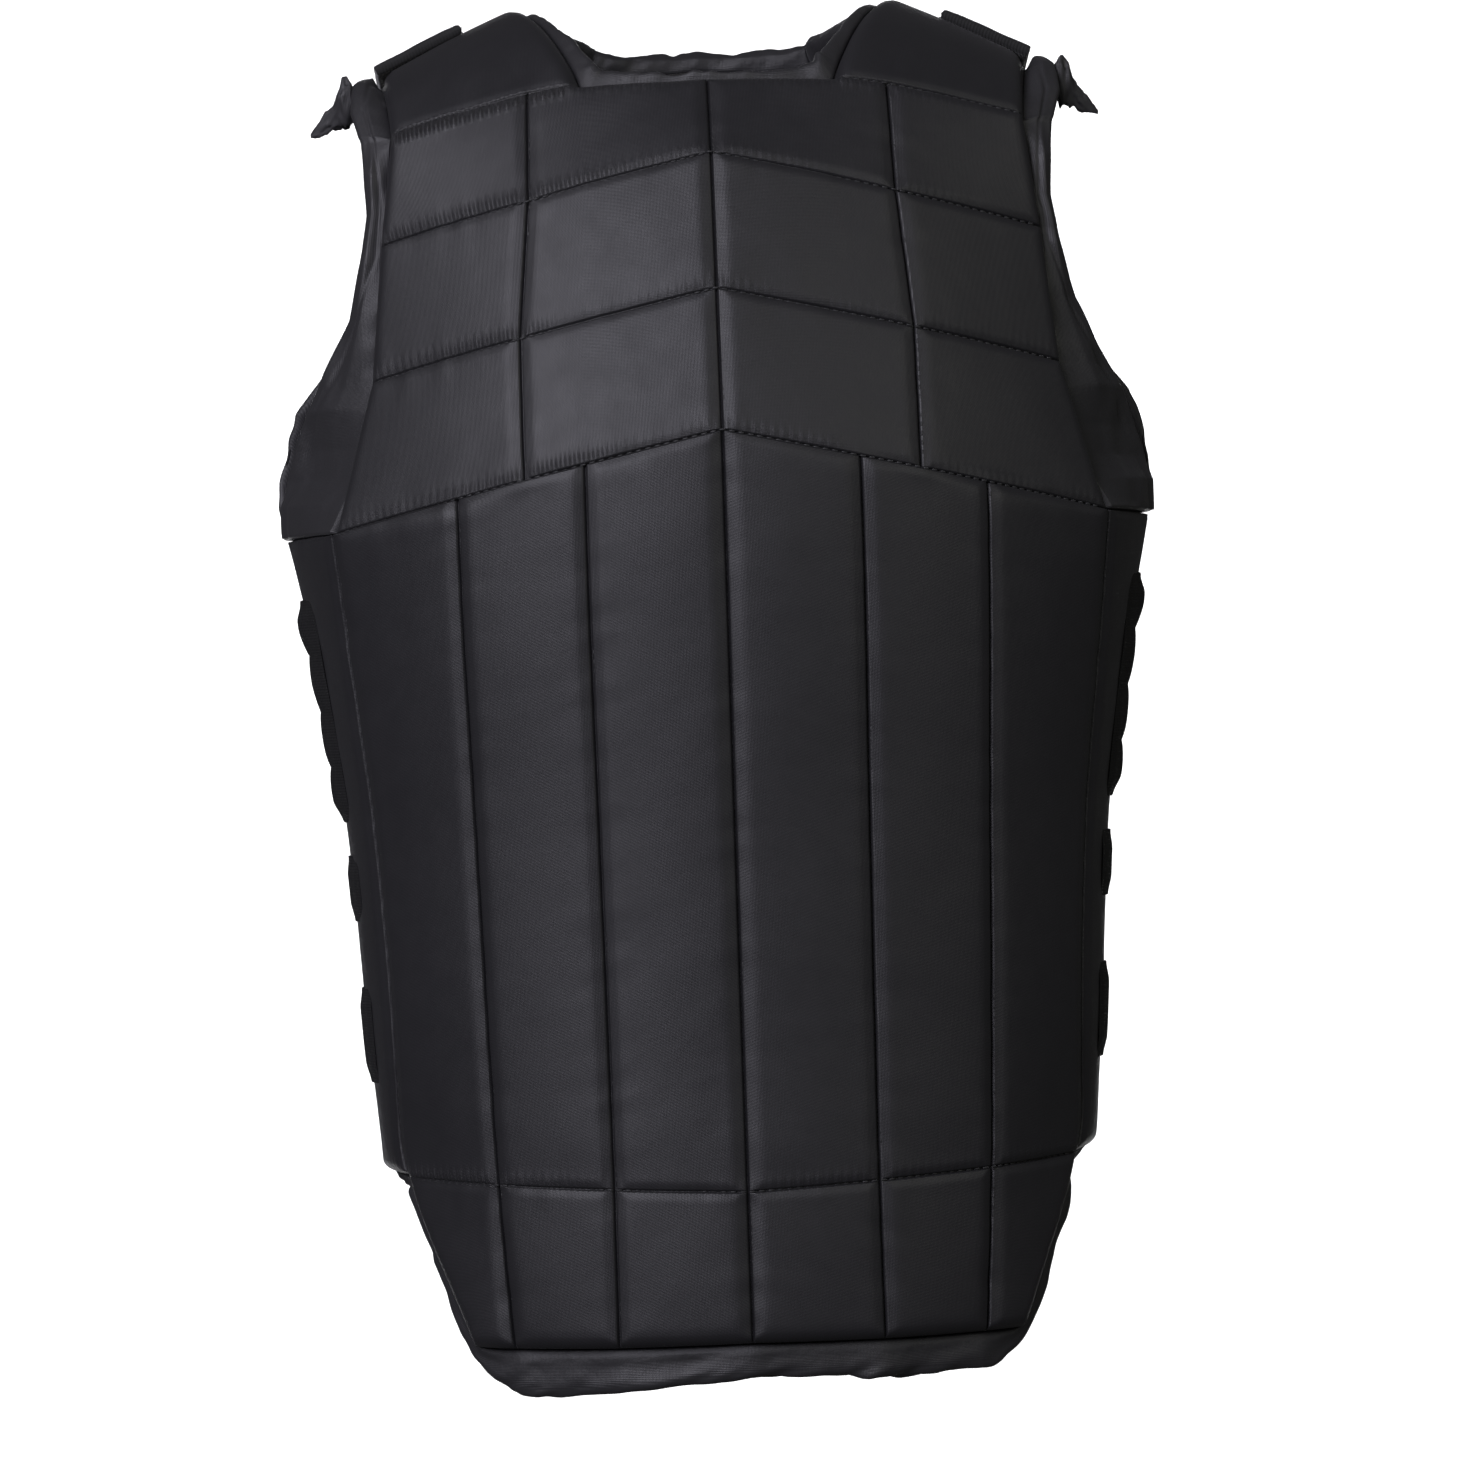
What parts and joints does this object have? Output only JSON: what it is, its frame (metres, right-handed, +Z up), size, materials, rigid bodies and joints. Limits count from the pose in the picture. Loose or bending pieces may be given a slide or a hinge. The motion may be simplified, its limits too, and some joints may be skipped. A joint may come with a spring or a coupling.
{
  "type": "riding body protector",
  "caption": "Black padded riding vest with quilted foam planks, shoulder tabs and elastic side straps, shown closed as it is worn.",
  "frame": {"origin": "midway between the two shoulders, at the underside of the shoulder padding, where the wearer's shoulders carry the vest", "axes": "+Z up, the front faces -Y, +X to the right when looking at the front"},
  "size_m": [0.3732, 0.2136, 0.5807],
  "materials": {
    "cover": "black satin-weave nylon cover over foam planks, soft sheen",
    "trim": "black satin-weave nylon, folded and gathered",
    "elastic": "dull black woven elastic",
    "hook_tape": "dull black hook-and-loop tape"
  },
  "bodies": {
    "root": {"front_panel": "cover", "back_panel": "cover", "neck_binding_front": "trim", "neck_binding_back": "trim", "hem_band_front": "trim", "hem_band_back": "trim", "front_gusset_left": "trim", "back_gusset_left": "trim", "side_strap_upper_left": "elastic", "side_strap_middle_left": "elastic", "side_strap_lower_left": "elastic", "shoulder_tab_left": "hook_tape", "shoulder_tie_left": "trim", "front_gusset_right": "trim", "back_gusset_right": "trim", "side_strap_upper_right": "elastic", "side_strap_middle_right": "elastic", "side_strap_lower_right": "elastic", "shoulder_tab_right": "hook_tape", "shoulder_tie_right": "trim"}
  },
  "joints": []
}
